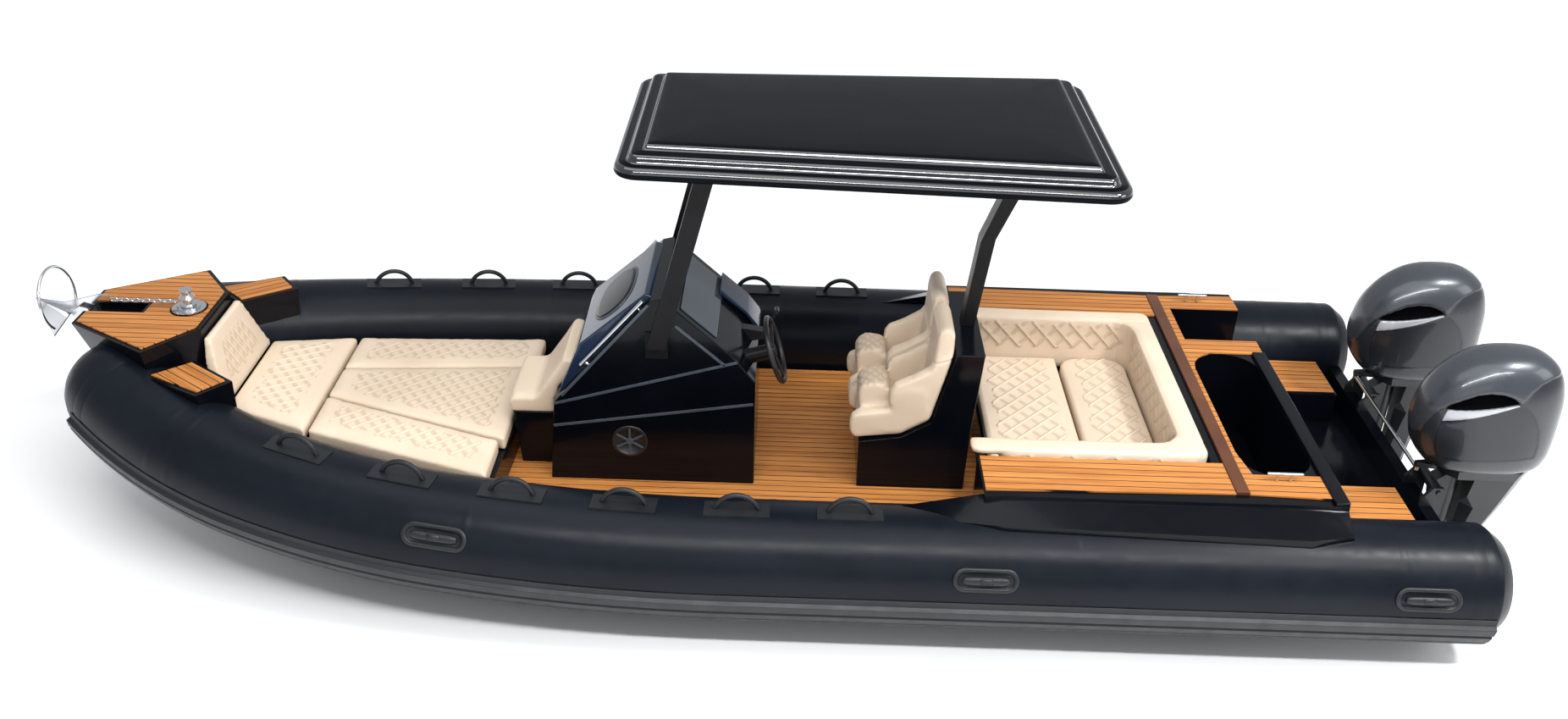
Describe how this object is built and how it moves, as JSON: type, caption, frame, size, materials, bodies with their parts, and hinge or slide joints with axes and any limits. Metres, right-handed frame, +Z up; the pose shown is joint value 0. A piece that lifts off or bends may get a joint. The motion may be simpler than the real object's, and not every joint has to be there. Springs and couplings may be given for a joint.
{
  "type": "rigid inflatable boat",
  "caption": "Rigid inflatable boat with a V hull, buoyancy tubes, teak decks, bow lounge, console, hardtop, sofa and twin tilting outboard engines.",
  "frame": {"origin": "on the centreline amidships at the waterline", "axes": "+X to the bow, +Y to port, +Z up"},
  "size_m": [8.335, 3.044, 3.019],
  "materials": {
    "tube_fabric": "satin coated fabric",
    "strake_rubber": "moulded rubber",
    "teak": "oiled planks with black caulking",
    "dark_wood": "oiled",
    "black_gelcoat": "glossy moulded gelcoat",
    "black_paint": "semi-gloss",
    "leather": "stitched quilted vinyl",
    "polished_steel": "polished",
    "black_plastic": "satin",
    "engine_paint": "metallic clear coat",
    "engine_dark": "satin",
    "propeller_metal": "brushed"
  },
  "bodies": {
    "boat": {"tube_port": "tube_fabric", "tube_starboard": "tube_fabric", "rub_strakes": "strake_rubber", "tube_handles": "strake_rubber", "tube_end_pads": "teak", "bow_teak": "teak", "floor_teak": "teak", "stern_teak": "teak", "cross_strip": "dark_wood", "hull": "black_gelcoat", "bow_deck": "black_gelcoat", "lounge_base": "black_gelcoat", "console": "black_gelcoat", "console_seat_base": "black_gelcoat", "leaning_post": "black_gelcoat", "stern_deck": "black_gelcoat", "transom_beam": "black_gelcoat", "roof": "black_gelcoat", "roof_legs_front": "black_paint", "roof_leg_rear": "black_paint", "helm_column": "black_paint", "bow_cushion_front": "leather", "bow_cushion_middle": "leather", "bow_cushion_port": "leather", "bow_cushion_starboard": "leather", "bow_backrest": "leather", "console_seat": "leather", "helm_seat_port": "leather", "helm_seat_starboard": "leather", "sofa_back": "leather", "sofa_seat_front": "leather", "sofa_seat_aft": "leather", "anchor_roller": "polished_steel", "anchor": "polished_steel", "anchor_chain": "polished_steel", "windlass_base": "polished_steel", "console_rails": "polished_steel", "cleats": "polished_steel", "throttle": "black_plastic", "clamp_bracket_port": "engine_dark", "clamp_bracket_starboard": "engine_dark"},
    "windlass_drum": {"windlass_drum": "polished_steel"},
    "steering_wheel": {"steering_wheel": "black_plastic"},
    "tie_bar": {"tie_bar": "polished_steel"},
    "swivel_port": {"swivel_bracket_port": "engine_dark"},
    "swivel_starboard": {"swivel_bracket_starboard": "engine_dark"},
    "outboard_port": {"cowl_port": "engine_paint", "gearcase_port": "engine_dark"},
    "outboard_starboard": {"cowl_starboard": "engine_paint", "gearcase_starboard": "engine_dark"},
    "propeller_port": {"propeller_port": "propeller_metal"},
    "propeller_starboard": {"propeller_starboard": "propeller_metal"}
  },
  "joints": [
    {"name": "tilt_port", "type": "hinge", "parent": "boat", "child": "swivel_port", "pos_m": [-3.545, 0.487, 0.54], "axis": [0, 1, 0], "range_deg": [-4, 62]},
    {"name": "tilt_starboard", "type": "hinge", "parent": "boat", "child": "swivel_starboard", "pos_m": [-3.545, -0.487, 0.54], "axis": [0, 1, 0], "range_deg": [-4, 62]},
    {"name": "steer_port", "type": "hinge", "parent": "swivel_port", "child": "outboard_port", "pos_m": [-3.65, 0.487, 0.3], "axis": [0, 0, 1], "range_deg": [-30, 30]},
    {"name": "steer_starboard", "type": "hinge", "parent": "swivel_starboard", "child": "outboard_starboard", "pos_m": [-3.65, -0.487, 0.3], "axis": [0, 0, 1], "range_deg": [-30, 30]},
    {"name": "tie_bar_pivot", "type": "hinge", "parent": "outboard_port", "child": "tie_bar", "pos_m": [-3.45, 0.487, 0.622], "axis": [0, 0, 1], "range_deg": [-30, 30]},
    {"name": "propeller_spin_port", "type": "hinge", "parent": "outboard_port", "child": "propeller_port", "pos_m": [-4.055, 0.487, -0.445], "axis": [1, 0, 0], "continuous": true},
    {"name": "propeller_spin_starboard", "type": "hinge", "parent": "outboard_starboard", "child": "propeller_starboard", "pos_m": [-4.055, -0.487, -0.445], "axis": [1, 0, 0], "continuous": true},
    {"name": "wheel_turn", "type": "hinge", "parent": "boat", "child": "steering_wheel", "pos_m": [0.095, 0.2, 1.06], "axis": [-0.9511, 0, 0.309], "range_deg": [-600, 600]},
    {"name": "windlass_spin", "type": "hinge", "parent": "boat", "child": "windlass_drum", "pos_m": [3.36, 0, 1.15], "axis": [0, 0, 1], "continuous": true}
  ],
  "couplings": [
    {"joint": "tilt_starboard", "follows": "tilt_port", "ratio": 1},
    {"joint": "steer_starboard", "follows": "steer_port", "ratio": 1},
    {"joint": "tie_bar_pivot", "follows": "steer_port", "ratio": -1},
    {"joint": "wheel_turn", "follows": "steer_port", "ratio": 20}
  ]
}
